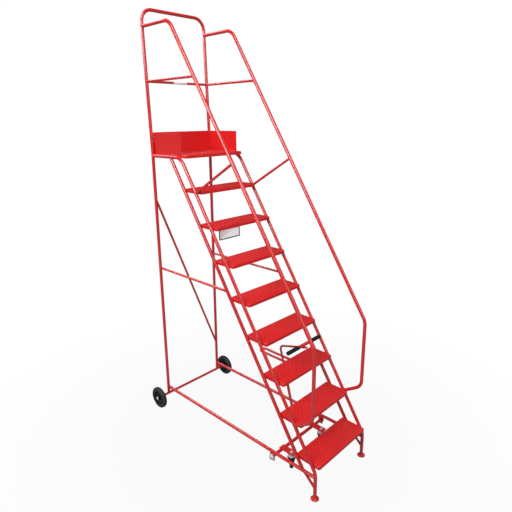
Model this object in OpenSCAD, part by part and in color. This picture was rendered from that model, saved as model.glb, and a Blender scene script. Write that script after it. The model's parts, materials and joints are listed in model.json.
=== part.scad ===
// Mobile ladder stand: warehouse safety steps with a guarded platform and lever-lowered castors.
// Millimetres, Z up, front (the climbing side) towards -Y, floor at Z = 0.

/* [Steps] */
// height from one tread to the next
rise = 248.5; // [200:0.5:280]
// height of the first tread over the floor, with the castors lowered
first_rise = 270.5; // [230:0.5:290]
// horizontal advance of one step
going = 159; // [130:1:220]
// number of treads below the platform
tread_count = 8; // [8:1:8]
// depth of a tread from nose to rear edge
tread_depth = 200; // [170:1:240]
// how far a tread's nose stands ahead of the front stringer's centre line
nose_ahead = 59; // [10:1:65]
// height of the folded lips under treads and platform
lip_h = 25; // [15:1:40]
// height of the platform's top over the level tubes beside it
plate_over = 8.5; // [0:0.5:12]
// sheet thickness of treads, platform and boards
sheet = 2; // [1.5:0.1:4]

/* [Frame] */
// distance between the centre planes of the two side frames
frame_w = 588; // [500:1:750]
// outer diameter of the main tubes
tube_d = 25; // [20:0.1:34]
// outer diameter of the braces and knee rails
brace_d = 19; // [15:0.1:22]
// wall of every tube
tube_wall = 2; // [1.2:0.1:3]
// gap left at every welded joint
weld_gap = 0.25; // [0.1:0.05:0.3]
// height where the front stringer leaves the upright front leg
stringer_foot_z = 212; // [190:1:260]
// distance along Y from the front stringer to the rear stringer
stringer_gap = 126; // [100:1:150]
// bend radius of stringers and handrails
bend_r = 110; // [80:1:140]
// how much a tube draws in, on the radius, where it is bent
bend_thin = 0.05; // [0.03:0.01:0.1]
// height of the base rail at the front leg
base_front_z = 182; // [170:1:220]
// height of the base rail at the rear leg
base_rear_z = 165; // [150:1:220]
// height of the horizontal mid braces
mid_brace_z = 1310; // [1100:1:1500]
// upper end of the diagonal brace on the left rear leg
diagonal_top_z = 1895; // [1600:1:2000]
// lower end of the diagonal brace on the right rear leg
diagonal_low_z = 390; // [300:1:600]

/* [Guard rails] */
// height of the hoop's top above the platform, to the tube's centre
hoop_h = 1028.5; // [950:0.5:1150]
// corner radius of the hoop
hoop_r = 90; // [60:1:140]
// height of the handrail's level top above the platform
rail_top_h = 908.5; // [850:0.5:940]
// height of the knee rails above the platform
knee_h = 528.5; // [450:0.5:600]
// distance from the front leg to the handrail's upright lower end
rail_foot_y = 35; // [20:1:80]
// height where the handrail's upright part turns up the slope
rail_turn_z = 1120; // [1000:1:1200]
// height of the handrail's lowest corner
rail_low_z = 597; // [560:1:700]
// height where the handrail's return meets the stringer
rail_end_z = 500; // [470:1:540]
// radius of the handrail's lowest bend
rail_low_r = 90; // [60:1:95]
// distance from the platform's nose to the rear guard
platform_depth = 413; // [400:1:600]
// how far the platform's nose stands ahead of the front stringer's bend
platform_nose = 55; // [20:1:70]
// height of the toe boards
toe_h = 157; // [100:1:180]
// height of the strip that ties a side board's top to the rear guard
toe_strip = 25; // [15:1:40]

/* [Wheels and feet] */
// diameter of a rear wheel
wheel_d = 190; // [160:1:220]
// width of a rear tyre
wheel_w = 38; // [30:1:50]
// inner face of a rear wheel, measured from the rear leg's plane
wheel_offset = 84; // [60:1:110]
// outer diameter of the rear axle tube
axle_tube_d = 22; // [20:0.1:30]
// diameter of the axle pins
axle_d = 17; // [12:0.1:18]
// radial running clearance of every turning fit
run_fit = 0.05; // [0.02:0.01:0.1]
// how far the rear legs' feet stand behind their tops
leg_splay = 22; // [0:1:60]
// how far the hoop's top leans back from its foot
hoop_lean = 23; // [0:1:40]
// diameter of a front foot
foot_d = 60; // [50:1:90]
// height of the front feet over the floor with the castors lowered
foot_lift = 8; // [3:0.5:12]

/* [Castor lift] */
// distance from the front legs to the lift shaft
shaft_y = 388; // [370:1:420]
// height of the lift shaft
shaft_z = 134; // [125:1:150]
// diameter of the lift shaft
shaft_d = 25; // [20:0.1:30]
// diameter of the shaft's end journals
journal_d = 16; // [12:0.1:20]
// distance from the middle to each castor
castor_x = 182; // [150:1:195]
// distance from the shaft forward to the castor's swivel axis
castor_arm = 88; // [75:1:95]
// diameter of a castor wheel
castor_d = 100; // [75:1:105]
// width of a castor wheel
castor_w = 26; // [20:1:32]
// trail of a castor wheel behind its swivel axis
castor_trail = 28; // [20:1:36]
// heading of the castors as photographed
castor_turn = -45; // [-180:1:180]
// diameter of the lever rod
lever_d = 16; // [12:0.1:20]
// diameter of the stouter tube that carries the lever rod up from the shaft
lever_tube_d = 21; // [18:0.1:26]
// length of that tube, measured from the shaft's centre
lever_tube_len = 570; // [300:1:580]
// distance from the third tread's rear edge back to the lever's corner
lever_back = 80.5; // [60:0.5:90]
// height of the lever's corner over the third tread, as a share of one rise
lever_share = 0.344; // [0.3:0.001:0.4]
// distance from the third tread's nose back to the cross bar
bar_back = 51.5; // [35:0.5:70]
// height of the cross bar over the third tread, as a share of one rise
bar_share = 0.698; // [0.63:0.001:0.74]
// half length of the cross bar
bar_half = 180; // [150:1:230]
// diameter of the cross bar
bar_d = 25; // [18:0.1:28]
// outer diameter of a grip
grip_d = 34; // [30:0.1:40]
// length of a grip
grip_len = 118; // [90:1:135]
// turn of the lever that lifts the castors off the floor
lever_swing = 15; // [8:0.5:15]

/* [Hidden] */
$fn = 64;
red = [0.80, 0.10, 0.10];
black = [0.06, 0.06, 0.06];
silver = [0.75, 0.76, 0.78];
white = [0.93, 0.93, 0.92];
side_x = frame_w / 2;
inner_x = side_x - tube_d / 2 - weld_gap;
slope = going / rise;
platform_z = first_rise + rise * tread_count;
top_z = platform_z - plate_over - tube_d / 2;
nose_1 = (first_rise - stringer_foot_z) * slope - nose_ahead;
platform_y = (top_z - stringer_foot_z) * slope - platform_nose;
upright_y = platform_y + platform_depth;
split_z = platform_z - plate_over + 12;
axle_y = upright_y + leg_splay;
axle_z = wheel_d / 2;
hoop_z = platform_z + hoop_h;
rail_top_z = platform_z + rail_top_h;
knee_z = platform_z + knee_h;
lean = atan(hoop_lean / (hoop_z - split_z));
y_mid = (axle_y + wheel_d / 2 - foot_d / 2) / 2;
bar_y = nose_1 + 2 * going + bar_back;
bar_z = first_rise + (2 + bar_share) * rise;
corner_y = nose_1 + 2 * going + tread_depth + lever_back;
corner_z = first_rise + (2 + lever_share) * rise;
castor_y = shaft_y - castor_arm;
plate_z = shaft_z + shaft_d / 2;
plate_t = 6;
plate_w = 54;
bolt_d = 12;
wheel_x = side_x + wheel_offset;
hub_d = 132;
hub_side = 3;
tyre_gap = 0.1;
cap_d = 26;
bracket_t = 6;
head_d = 60;
head_h = 26;
head_gap = 0.6;
crown_t = 6;
fork_t = 4;
guide_d = 19;
guide_half = 26;
bend_lap = 0.5;
front_cut = 12;
rear_cut = 6;
rod_tip = 20;

function front_y(z) = (z - stringer_foot_z) * slope;
function tread_z(n) = first_rise + (n - 1) * rise;
function rear_y(z) = front_y(z) + stringer_gap;
function leg_y(z) = upright_y + leg_splay * (split_z - z) / (split_z - axle_z);
function hoop_y(z) = upright_y + (z - split_z) * tan(lean);
function rail_y(z) = rail_foot_y + (z - rail_turn_z) * slope;
function base_z(y) = base_front_z + (base_rear_z - base_front_z) * y / leg_y(base_rear_z);
function unit(v) = v / norm(v);
function cross2(u, v) = u.x * v.y - u.y * v.x;
function turn_of(a, b, c) = acos(max(-1, min(1, unit(b - a) * unit(c - b))));
function cut_of(a, b, c, r) = r * tan(turn_of(a, b, c) / 2);
function seg_start(p, r, i) = i == 0
  ? p[0]
  : p[i] + unit(p[i + 1] - p[i]) * (cut_of(p[i - 1], p[i], p[i + 1], r[i - 1]) - bend_lap);
function seg_end(p, r, i) = i == len(p) - 2
  ? p[i + 1]
  : p[i + 1] - unit(p[i + 1] - p[i]) * (cut_of(p[i], p[i + 1], p[i + 2], r[i]) - bend_lap);
function longer(p, by) = [
  for (i = [0 : len(p) - 1])
    i == 0 ? p[0] - unit(p[1] - p[0]) * by
    : i == len(p) - 1 ? p[i] + unit(p[i] - p[i - 1]) * by
    : p[i]
];

front_path = [
  [0, foot_lift + 8],
  [0, stringer_foot_z],
  [front_y(top_z), top_z],
  [leg_y(top_z), top_z]
];
front_bends = [bend_r, bend_r];
base_path = [[0, base_front_z], [leg_y(base_rear_z), base_rear_z]];
leg_path = [[axle_y, axle_z], [upright_y, split_z - weld_gap]];
upright_path = [[upright_y, split_z], [hoop_y(hoop_z), hoop_z]];
rail_path = [
  [front_y(rail_end_z), rail_end_z],
  [rail_foot_y, rail_low_z],
  [rail_foot_y, rail_turn_z],
  [rail_y(rail_top_z), rail_top_z],
  [hoop_y(rail_top_z), rail_top_z]
];
rail_bends = [rail_low_r, bend_r, bend_r];
rear_low = base_z(rear_y(base_front_z));
rear_path = [[rear_y(rear_low), rear_low], [rear_y(top_z), top_z]];

// Straight round bar between two points of the drawing plane.
module bar2(p, q, d) {
  translate([p.x, p.y, 0])
    rotate([0, 90, atan2(q.y - p.y, q.x - p.x)])
      cylinder(d = d, h = norm(q - p));
}

// Round bend at corner b of the path a, b, c.
module bend2(a, b, c, r, d) {
  turn = turn_of(a, b, c);
  left = cross2(b - a, c - b) > 0;
  start = b - unit(b - a) * cut_of(a, b, c, r);
  stop = b + unit(c - b) * cut_of(a, b, c, r);
  along = unit(b - a);
  centre = start + (left ? [-along.y, along.x] : [along.y, -along.x]) * r;
  from = (left ? start : stop) - centre;
  translate([centre.x, centre.y, 0])
    rotate([0, 0, atan2(from.y, from.x)])
      rotate_extrude(angle = turn)
        translate([r, 0])
          circle(d = d - 2 * bend_thin);
}

// Solid round bar along a path with bends.
module run(p, r, d) {
  for (i = [0 : len(p) - 2])
    bar2(seg_start(p, r, i), seg_end(p, r, i), d);
  if (len(p) > 2)
    for (i = [1 : len(p) - 2])
      bend2(p[i - 1], p[i], p[i + 1], r[i - 1], d);
}

// Hollow tube along a path with bends.
module pipe(p, r, d) {
  difference() {
    run(p, r, d);
    run(longer(p, 1), r, d - 2 * tube_wall);
  }
}

// Drawing plane (along Y, up) of one side frame: -1 is left, 1 is right.
module side(s) {
  translate([s * side_x, -y_mid, 0])
    rotate([90, 0, 90])
      children();
}

module centred() {
  translate([0, -y_mid, 0])
    children();
}

// Envelopes that welded tubes are cut back against.
module front_space() {
  run(front_path, front_bends, tube_d + 2 * weld_gap);
}

module base_space() {
  run(base_path, [], tube_d + 2 * weld_gap);
}

module leg_space() {
  run(leg_path, [], tube_d + 2 * weld_gap);
}

module upright_space() {
  run(longer(upright_path, 1), [], tube_d + 2 * weld_gap);
}

module rail_space() {
  run(rail_path, rail_bends, tube_d + 2 * weld_gap);
}

module rear_space() {
  run(rear_path, [], tube_d + 2 * weld_gap);
}

module knee_space() {
  run([[rail_y(knee_z), knee_z], [hoop_y(knee_z), knee_z]], [], brace_d + 2 * weld_gap);
}

// Front stringer with its upright leg and level top.
module front_stringer(s) {
  color(red) side(s) difference() {
    pipe(front_path, front_bends, tube_d);
    leg_space();
  }
}

module rear_stringer(s) {
  color(red) side(s) difference() {
    pipe(rear_path, [], tube_d);
    base_space();
    front_space();
  }
}

module base_rail(s) {
  color(red) side(s) difference() {
    pipe(base_path, [], tube_d);
    front_space();
    leg_space();
  }
}

module leg_gusset(s) {
  low = [0, foot_lift + 86];
  high = [rear_y(rear_low) - 8, base_z(rear_y(rear_low) - 8)];
  color(red) side(s) difference() {
    pipe([low, high], [], brace_d);
    front_space();
    base_space();
    rear_space();
  }
}

module handrail(s) {
  color(red) side(s) difference() {
    pipe(rail_path, rail_bends, tube_d);
    front_space();
    upright_space();
  }
}

module handrail_strut(s) {
  low_z = platform_z - 268;
  high_z = platform_z - 33;
  color(red) side(s) difference() {
    pipe([[front_y(low_z), low_z], [rail_y(high_z), high_z]], [], brace_d);
    front_space();
    rail_space();
  }
}

module mid_brace(s) {
  color(red) side(s) difference() {
    pipe([[rear_y(mid_brace_z), mid_brace_z], [leg_y(mid_brace_z), mid_brace_z]], [], brace_d);
    rear_space();
    leg_space();
  }
}

module rear_leg(s) {
  color(red) side(s) difference() {
    pipe(leg_path, [], tube_d);
    translate([axle_y, axle_z, -tube_d])
      cylinder(d = axle_tube_d + 2 * weld_gap, h = 2 * tube_d);
    translate([upright_y - tube_d, split_z - weld_gap - 0.5, -tube_d])
      cube(2 * tube_d);
  }
}

module rear_guard_hoop() {
  tall = (hoop_z - split_z) / cos(lean);
  color(red) centred() difference() {
    translate([0, upright_y, split_z])
      rotate([-lean, 0, 0])
        rotate([90, 0, 0])
          pipe([[-side_x, 0], [-side_x, tall], [side_x, tall], [side_x, 0]], [hoop_r, hoop_r], tube_d);
    translate([-frame_w, upright_y - tube_d, split_z - 2 * tube_d + 0.5])
      cube([2 * frame_w, 2 * tube_d, 2 * tube_d]);
  }
}

module knee_rail(s) {
  color(red) side(s) difference() {
    pipe([[rail_y(knee_z), knee_z], [hoop_y(knee_z), knee_z]], [], brace_d);
    rail_space();
    upright_space();
  }
}

module rear_knee_rail() {
  color(red) difference() {
    translate([-side_x, hoop_y(knee_z) - y_mid, knee_z])
      rotate([0, 90, 0])
        difference() {
          cylinder(d = brace_d, h = frame_w);
          translate([0, 0, -1])
            cylinder(d = brace_d - 2 * tube_wall, h = frame_w + 2);
        }
    for (s = [-1, 1])
      side(s) {
        upright_space();
        knee_space();
      }
  }
}

module rear_diagonal_brace() {
  high = [-side_x, leg_y(diagonal_top_z) - y_mid, diagonal_top_z];
  low = [side_x, leg_y(diagonal_low_z) - y_mid, diagonal_low_z];
  way = low - high;
  color(red) difference() {
    translate(high)
      rotate([0, acos(way.z / norm(way)), atan2(way.y, way.x)])
        difference() {
          cylinder(d = brace_d, h = norm(way));
          translate([0, 0, -1])
            cylinder(d = brace_d - 2 * tube_wall, h = norm(way) + 2);
        }
    for (s = [-1, 1])
      side(s) leg_space();
  }
}

// Axis of the rear wheels, pointing along X from the middle.
module on_axle() {
  translate([0, axle_y - y_mid, axle_z])
    rotate([0, 90, 0])
      children();
}

module rear_axle_tube() {
  half = wheel_x - hub_side - 2;
  color(red) on_axle() difference() {
    translate([0, 0, -half])
      cylinder(d = axle_tube_d, h = 2 * half);
    translate([0, 0, -half - 1])
      cylinder(d = axle_d + 0.2, h = 2 * half + 2);
  }
}

// Pin pushed into each end of the axle tube, with a washer on each side of the hub and a domed cap.
module axle_pins() {
  hub_in = wheel_x - hub_side;
  hub_out = wheel_x + wheel_w + hub_side;
  color(silver) on_axle() for (s = [0, 180])
    rotate([s, 0, 0]) {
      translate([0, 0, side_x - 60])
        cylinder(d = axle_d, h = hub_out + 6 - side_x + 60);
      translate([0, 0, hub_in - 1.8])
        cylinder(d = cap_d, h = 1.5);
      translate([0, 0, hub_out + 0.3])
        cylinder(d = cap_d, h = 3);
      translate([0, 0, hub_out + 3.3])
        cylinder(d1 = cap_d, d2 = cap_d - 8, h = 4);
    }
}

// Turned ring about the wheel axis, from its half section.
module rear_tyre(s) {
  outer = wheel_d / 2;
  inner = hub_d / 2 + tyre_gap;
  color(black) on_axle() translate([0, 0, s > 0 ? wheel_x : -wheel_x - wheel_w])
    rotate_extrude() polygon([
      [inner, 2],
      [inner + 6, 0],
      [outer - 12, 0],
      [outer - 4, 3],
      [outer, 9],
      [outer, wheel_w - 9],
      [outer - 4, wheel_w - 3],
      [outer - 12, wheel_w],
      [inner + 6, wheel_w],
      [inner, wheel_w - 2]
    ]);
}

module rear_hub(s) {
  bore = axle_d / 2 + run_fit;
  rim = hub_d / 2;
  boss = 24;
  deep = 11;
  color(black) on_axle() translate([0, 0, s > 0 ? wheel_x : -wheel_x - wheel_w])
    rotate_extrude() polygon([
      [bore, -hub_side],
      [boss, -hub_side],
      [boss, deep],
      [rim - 8, deep],
      [rim - 8, 2],
      [rim, 2],
      [rim, wheel_w - 2],
      [rim - 8, wheel_w - 2],
      [rim - 8, wheel_w - deep],
      [boss, wheel_w - deep],
      [boss, wheel_w + hub_side],
      [bore, wheel_w + hub_side]
    ]);
}

// Dished steel foot with a socket for the leg.
module foot(s) {
  r = foot_d / 2;
  socket = tube_d / 2 + weld_gap;
  color(red) translate([s * side_x, -y_mid, foot_lift])
    rotate_extrude() polygon([
      [0, 0],
      [r - 4, 0],
      [r, 4],
      [r, 10],
      [r - 3, 10],
      [r - 6, 6],
      [socket + 5, 6],
      [socket + 3, 24],
      [socket, 24],
      [socket, 8 - weld_gap],
      [0, 8 - weld_gap]
    ]);
}

// Outline of a tray with cut corners, drawn in by an inset on every side.
module tray_outline(depth, inset) {
  half = inner_x - inset;
  back = depth - inset;
  front_in = front_cut - inset * (2 - sqrt(2));
  rear_in = rear_cut - inset * (2 - sqrt(2));
  polygon([
    [-half, inset + front_in],
    [-half + front_in, inset],
    [half - front_in, inset],
    [half, inset + front_in],
    [half, back - rear_in],
    [half - rear_in, back],
    [-half + rear_in, back],
    [-half, back - rear_in]
  ]);
}

// Folded tray with lips on four sides and an open underside.
module tray(y, z, depth) {
  color(red) translate([0, y - y_mid, z - lip_h]) difference() {
    linear_extrude(lip_h)
      tray_outline(depth, 0);
    translate([0, 0, -1])
      linear_extrude(lip_h - sheet + 1)
        tray_outline(depth, sheet);
  }
}

module tread(n) {
  tray(nose_1 + (n - 1) * going, tread_z(n), tread_depth);
}

module platform() {
  tray(platform_y, platform_z, platform_depth);
}

// Toe board along one side, with a foot flange on the platform and a strip back to the rear guard.
module toe_board_side(s) {
  front = platform_y + 62;
  back = upright_y - tube_d / 2 - 6;
  color(red) translate([0, -y_mid, platform_z + weld_gap]) {
    translate([s > 0 ? inner_x - sheet : -inner_x, front, 0])
      cube([sheet, back - front, toe_h]);
    translate([s > 0 ? inner_x - sheet : -inner_x, front, toe_h - toe_strip])
      cube([sheet, upright_y - 1 - front, toe_strip]);
    translate([s > 0 ? inner_x - 22 : -inner_x, front, 0])
      cube([22, back - front - 14, sheet]);
  }
}

// Toe board across the back, between the uprights, with a flange against each side board.
module rear_toe_board() {
  back = upright_y + sheet + weld_gap;
  half = inner_x - sheet - weld_gap;
  low = sheet + weld_gap;
  color(red) translate([0, -y_mid, platform_z + weld_gap]) {
    difference() {
      translate([-half, back - 32, low])
        cube([2 * half, 32, toe_h - low]);
      translate([-half + sheet, back - 33, low - 1])
        cube([2 * half - 2 * sheet, 33 - sheet, toe_h]);
    }
    translate([-half, back - sheet, -lip_h])
      cube([2 * half, sheet, lip_h + toe_h]);
  }
}

module toe_board_screws() {
  half = inner_x - 2 * sheet - weld_gap;
  color(silver) for (s = [-1, 1], z = [20, toe_h - 24])
    translate([s * (half - 0.1), upright_y + sheet - 24 - y_mid, platform_z + z])
      rotate([0, -90 * s, 0])
        cylinder(d1 = 9.5, d2 = 6.5, h = 3);
}

// Blank sign plate behind the lip of the seventh tread.
module sign_plate() {
  y = nose_1 + 6 * going + sheet + weld_gap;
  color(white) translate([-261, y - y_mid, tread_z(7) - 97])
    cube([207, 1.5, 97 - sheet - weld_gap]);
}

// Bearing plate for the lift shaft, welded under the base rail.
module shaft_bracket(s) {
  top = base_z(shaft_y) - shaft_z;
  color(red) side(s) difference() {
    translate([shaft_y, shaft_z, -bracket_t / 2])
      linear_extrude(bracket_t)
        difference() {
          polygon([[-26, top], [26, top], [18, -30], [-18, -30]]);
          circle(d = journal_d + 2 * run_fit);
        }
    base_space();
  }
}

module on_shaft() {
  translate([0, shaft_y - y_mid, shaft_z])
    rotate([0, 90, 0])
      children();
}

module lift_shaft() {
  half = side_x - tube_d / 2 - 6;
  tail = side_x + bracket_t / 2 + 24;
  color(red) on_shaft() {
    translate([0, 0, -half])
      cylinder(d = shaft_d, h = 2 * half);
    translate([0, 0, -tail])
      cylinder(d = journal_d, h = 2 * tail);
  }
}

// Round retaining cup and nut on each end of the shaft.
module shaft_nuts() {
  face = side_x + bracket_t / 2 + 0.3;
  color(silver) on_shaft() for (s = [0, 180])
    rotate([s, 0, 0]) difference() {
      union() {
        translate([0, 0, face])
          cylinder(d = 44, h = 13);
        translate([0, 0, face + 13])
          cylinder(d = 28, h = 9, $fn = 6);
      }
      translate([0, 0, face - 1])
        cylinder(d = journal_d + 0.1, h = 25);
    }
}

// Flat arm that carries one castor, welded on top of the shaft.
module castor_plate(s) {
  front = castor_arm + 28;
  color(red) translate([s * castor_x - plate_w / 2, shaft_y - front - y_mid, plate_z + weld_gap])
    difference() {
      cube([plate_w, front + shaft_d / 2, plate_t]);
      translate([plate_w / 2, front - castor_arm, -1])
        cylinder(d = bolt_d + 2 * run_fit, h = plate_t + 2);
    }
}

// King bolt and dished upper race of each castor.
module castor_bolts() {
  low = plate_z + weld_gap;
  color(silver) for (s = [-1, 1])
    translate([s * castor_x, castor_y - y_mid, low]) {
      translate([0, 0, plate_t + 0.1])
        cylinder(d = 19, h = 7, $fn = 6);
      translate([0, 0, -head_h - head_gap - crown_t - 3])
        cylinder(d = bolt_d, h = head_h + head_gap + crown_t + 3 + plate_t + 0.2);
      translate([0, 0, -head_h])
        cylinder(d1 = head_d, d2 = head_d - 12, h = head_h - 0.1);
      translate([0, 0, -head_h - head_gap - crown_t - 6])
        cylinder(d = 20, h = 5.4);
    }
}

// Place of one castor, turned to its heading, with the floor at zero.
module at_castor(s) {
  translate([s * castor_x, castor_y - y_mid, 0])
    rotate([0, 0, castor_turn])
      children();
}

// Fork with its crown, two cheeks and a riveted axle.
module castor_fork(s) {
  crown_top = plate_z + weld_gap - head_h - head_gap;
  cheek = castor_w / 2 + 2.5;
  color(black) at_castor(s) {
    difference() {
      translate([0, 0, crown_top - crown_t])
        cylinder(d = head_d + 4, h = crown_t);
      translate([0, 0, crown_top - crown_t - 1])
        cylinder(d = bolt_d + 2 * run_fit, h = crown_t + 2);
    }
    for (t = [-1, 1])
      translate([t > 0 ? cheek : -cheek - fork_t, 0, 0])
        rotate([90, 0, 90])
          linear_extrude(fork_t)
            polygon([
              [-20, crown_top - 1],
              [20, crown_top - 1],
              [castor_trail + 14, castor_d / 2],
              [castor_trail + 8, castor_d / 2 - 12],
              [castor_trail - 8, castor_d / 2 - 12],
              [castor_trail - 14, castor_d / 2]
            ]);
    translate([-cheek - fork_t - 3, castor_trail, castor_d / 2])
      rotate([0, 90, 0])
        cylinder(d = 10, h = 2 * (cheek + fork_t + 3));
  }
}

module castor_wheel(s) {
  r = castor_d / 2;
  h = castor_w / 2;
  bore = 5 + run_fit;
  color(black) at_castor(s) translate([0, castor_trail, r]) rotate([0, 90, 0])
    rotate_extrude() polygon([
      [bore, -h - 2],
      [14, -h - 2],
      [14, -h + 4],
      [r - 16, -h + 4],
      [r - 12, -h],
      [r - 5, -h],
      [r, -h + 5],
      [r, h - 5],
      [r - 5, h],
      [r - 12, h],
      [r - 16, h - 4],
      [14, h - 4],
      [14, h + 2],
      [bore, h + 2]
    ]);
}

// Point on the lever's straight part, a given way up from the shaft.
function up_lever(way) =
  let (low = [shaft_y, shaft_z], rest = [corner_y, corner_z] - low)
  low + rest / norm(rest) * way;

// Stout lower tube of the lever, welded across the shaft.
module lever_tube() {
  color(red) centred() rotate([90, 0, 90]) difference() {
    bar2(up_lever(0), up_lever(lever_tube_len), lever_tube_d);
    translate([shaft_y, shaft_z, -lever_tube_d])
      cylinder(d = shaft_d + 2 * weld_gap, h = 2 * lever_tube_d);
  }
}

// Lever rod from the tube's end up behind the treads, then forward under the cross bar.
module lever_arm() {
  corner = [corner_y, corner_z];
  to_bar = [bar_y, bar_z] - corner;
  dip = asin(((bar_d + lever_d) / 2 + weld_gap) / norm(to_bar));
  aim = atan2(to_bar.y, to_bar.x) + dip;
  end = corner + [cos(aim), sin(aim)] * (norm(to_bar) * cos(dip) + rod_tip);
  color(red) centred() rotate([90, 0, 90])
    run([up_lever(lever_tube_len + weld_gap), corner, end], [34], lever_d);
}

module on_bar() {
  translate([0, bar_y - y_mid, bar_z])
    rotate([0, 90, 0])
      children();
}

module lever_cross_bar() {
  color(red) on_bar() translate([0, 0, -bar_half])
    cylinder(d = bar_d, h = 2 * bar_half);
}

// Ribbed sleeve on each end of the cross bar.
module lever_grips() {
  ribs = 8;
  pitch = (grip_len - 6) / ribs;
  color(black) on_bar() for (s = [0, 180])
    rotate([s, 0, 0]) difference() {
      union() {
        translate([0, 0, bar_half - grip_len + 4])
          cylinder(d = grip_d - 2.4, h = grip_len);
        for (i = [0 : ribs - 1])
          translate([0, 0, bar_half - grip_len + 7 + i * pitch])
            cylinder(d = grip_d, h = pitch * 0.66);
      }
      translate([0, 0, bar_half - grip_len])
        cylinder(d = bar_d + 0.2, h = grip_len + 0.1);
    }
}

// Hairpin that keeps the lever central and stops it at the end of its swing.
module lever_guide() {
  z = tread_z(3) - 13;
  lever_lean = atan((corner_y - shaft_y) / (corner_z - shaft_z)) + lever_swing;
  reach = shaft_y + (z - shaft_z) * tan(lever_lean) + (lever_d / 2 + 0.5) / cos(lever_lean);
  end = reach + guide_d / 2 * (1 + tan(lever_lean)) - guide_half;
  start = nose_1 + 2 * going + tread_depth + weld_gap;
  color(red) translate([0, -y_mid, z]) {
    for (s = [-1, 1])
      translate([s * guide_half, start, 0])
        rotate([-90, 0, 0])
          cylinder(d = guide_d, h = end - start);
    translate([0, end, 0])
      rotate_extrude(angle = 180)
        translate([guide_half, 0])
          circle(d = guide_d);
  }
}

module left_front_stringer() { front_stringer(-1); }
module right_front_stringer() { front_stringer(1); }
module left_rear_stringer() { rear_stringer(-1); }
module right_rear_stringer() { rear_stringer(1); }
module left_base_rail() { base_rail(-1); }
module right_base_rail() { base_rail(1); }
module left_leg_gusset() { leg_gusset(-1); }
module right_leg_gusset() { leg_gusset(1); }
module left_handrail() { handrail(-1); }
module right_handrail() { handrail(1); }
module left_handrail_strut() { handrail_strut(-1); }
module right_handrail_strut() { handrail_strut(1); }
module left_mid_brace() { mid_brace(-1); }
module right_mid_brace() { mid_brace(1); }
module left_rear_leg() { rear_leg(-1); }
module right_rear_leg() { rear_leg(1); }
module left_knee_rail() { knee_rail(-1); }
module right_knee_rail() { knee_rail(1); }
module left_foot() { foot(-1); }
module right_foot() { foot(1); }
module tread_1() { tread(1); }
module tread_2() { tread(2); }
module tread_3() { tread(3); }
module tread_4() { tread(4); }
module tread_5() { tread(5); }
module tread_6() { tread(6); }
module tread_7() { tread(7); }
module tread_8() { tread(8); }
module left_toe_board() { toe_board_side(-1); }
module right_toe_board() { toe_board_side(1); }
module left_shaft_bracket() { shaft_bracket(-1); }
module right_shaft_bracket() { shaft_bracket(1); }
module left_castor_plate() { castor_plate(-1); }
module right_castor_plate() { castor_plate(1); }
module left_castor_fork() { castor_fork(-1); }
module right_castor_fork() { castor_fork(1); }
module left_castor_wheel() { castor_wheel(-1); }
module right_castor_wheel() { castor_wheel(1); }
module left_rear_tyre() { rear_tyre(-1); }
module right_rear_tyre() { rear_tyre(1); }
module left_rear_hub() { rear_hub(-1); }
module right_rear_hub() { rear_hub(1); }

left_front_stringer();
right_front_stringer();
left_rear_stringer();
right_rear_stringer();
left_base_rail();
right_base_rail();
left_leg_gusset();
right_leg_gusset();
left_handrail();
right_handrail();
left_handrail_strut();
right_handrail_strut();
left_mid_brace();
right_mid_brace();
left_rear_leg();
right_rear_leg();
rear_guard_hoop();
left_knee_rail();
right_knee_rail();
rear_knee_rail();
rear_diagonal_brace();
rear_axle_tube();
axle_pins();
left_foot();
right_foot();
tread_1();
tread_2();
tread_3();
tread_4();
tread_5();
tread_6();
tread_7();
tread_8();
platform();
left_toe_board();
right_toe_board();
rear_toe_board();
toe_board_screws();
sign_plate();
left_shaft_bracket();
right_shaft_bracket();
lever_guide();
lift_shaft();
left_castor_plate();
right_castor_plate();
lever_tube();
lever_arm();
lever_cross_bar();
lever_grips();
shaft_nuts();
castor_bolts();
left_castor_fork();
right_castor_fork();
left_castor_wheel();
right_castor_wheel();
left_rear_tyre();
right_rear_tyre();
left_rear_hub();
right_rear_hub();
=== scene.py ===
# %% [markdown]
# # Mobile ladder stand
# Red warehouse steps on wheels. The CAD model gives every place and size, so this lesson starts from it:
# the tubes stay as they are and get their paint, and the folded treads, wheels, castors, grips, feet and
# fasteners are modelled again here, because their rounded folds and turned shapes are what the eye reads.

# %% Load the frame
import json
import math

import bmesh
import bpy
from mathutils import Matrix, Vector


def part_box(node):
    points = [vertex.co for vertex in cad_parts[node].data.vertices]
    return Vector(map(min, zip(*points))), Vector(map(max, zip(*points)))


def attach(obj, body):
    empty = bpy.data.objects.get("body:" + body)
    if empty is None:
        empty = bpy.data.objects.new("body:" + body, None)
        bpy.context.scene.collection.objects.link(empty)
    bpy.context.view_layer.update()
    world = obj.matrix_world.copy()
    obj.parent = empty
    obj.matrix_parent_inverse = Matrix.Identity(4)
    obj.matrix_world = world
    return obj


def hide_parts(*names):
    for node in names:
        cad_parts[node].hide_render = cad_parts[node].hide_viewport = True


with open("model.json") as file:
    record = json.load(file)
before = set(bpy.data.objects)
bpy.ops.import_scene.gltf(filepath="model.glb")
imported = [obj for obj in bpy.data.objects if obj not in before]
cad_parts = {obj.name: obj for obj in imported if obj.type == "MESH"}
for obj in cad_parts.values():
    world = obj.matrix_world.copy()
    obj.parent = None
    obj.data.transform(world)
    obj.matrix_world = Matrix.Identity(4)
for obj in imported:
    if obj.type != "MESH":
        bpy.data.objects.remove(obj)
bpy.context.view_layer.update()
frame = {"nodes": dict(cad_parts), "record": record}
nodes = frame["nodes"]

# %% [markdown]
# Before any modelling, a few helpers. An operator acts on whatever is selected, so each helper first
# deselects everything, makes one object active, and only then enters edit mode. Faces, edges and points are
# picked by a test on their place or direction, as one would click them by hand.

# %% Helpers for selecting and editing
MM = 0.001


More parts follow.
